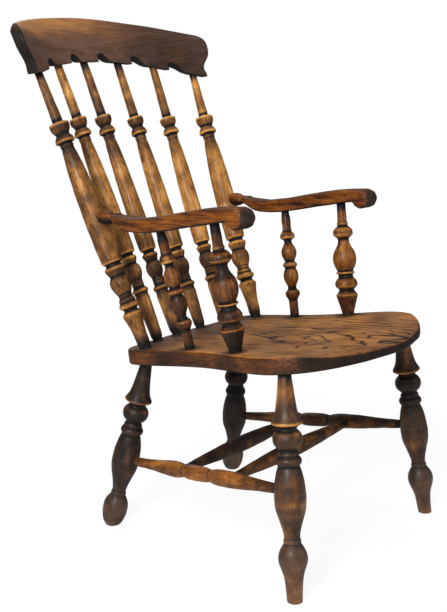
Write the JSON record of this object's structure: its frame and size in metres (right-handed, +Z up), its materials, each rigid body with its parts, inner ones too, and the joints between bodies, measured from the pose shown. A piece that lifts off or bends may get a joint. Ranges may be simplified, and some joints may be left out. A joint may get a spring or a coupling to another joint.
{
  "type": "high-back wooden armchair",
  "caption": "High-back armchair with a scooped plank seat, splayed turned legs, turned stretchers and back spindles, curved rolled arms and a bent crest rail with a scalloped lower edge.",
  "frame": {"origin": "on the floor, under the middle of the chair's whole width and depth", "axes": "+Z up, the chair faces -Y, +X towards the sitter's left"},
  "size_m": [0.5916, 0.845, 1.1113],
  "materials": {
    "seat_wood": "waxed, semi-gloss, strong grain",
    "leg_wood": "waxed, semi-gloss, dark with worn patches",
    "stretcher_wood": "waxed, semi-gloss",
    "spindle_wood": "waxed, semi-gloss, dark in the grooves",
    "arm_wood": "waxed, semi-gloss, rubbed",
    "crest_wood": "waxed, semi-gloss"
  },
  "bodies": {
    "root": {"seat": "seat_wood", "front_leg_right": "leg_wood", "front_leg_left": "leg_wood", "rear_leg_right": "leg_wood", "rear_leg_left": "leg_wood", "side_stretcher_right": "stretcher_wood", "side_stretcher_left": "stretcher_wood", "rear_cross_stretcher": "stretcher_wood", "front_cross_stretcher": "stretcher_wood", "stile_right": "spindle_wood", "stile_left": "spindle_wood", "outer_spindle_right": "spindle_wood", "outer_spindle_left": "spindle_wood", "inner_spindle_right": "spindle_wood", "inner_spindle_left": "spindle_wood", "arm_post_right": "spindle_wood", "arm_post_left": "spindle_wood", "arm_prop_right": "spindle_wood", "arm_prop_left": "spindle_wood", "arm_right": "arm_wood", "arm_left": "arm_wood", "crest_rail": "crest_wood"}
  },
  "joints": []
}
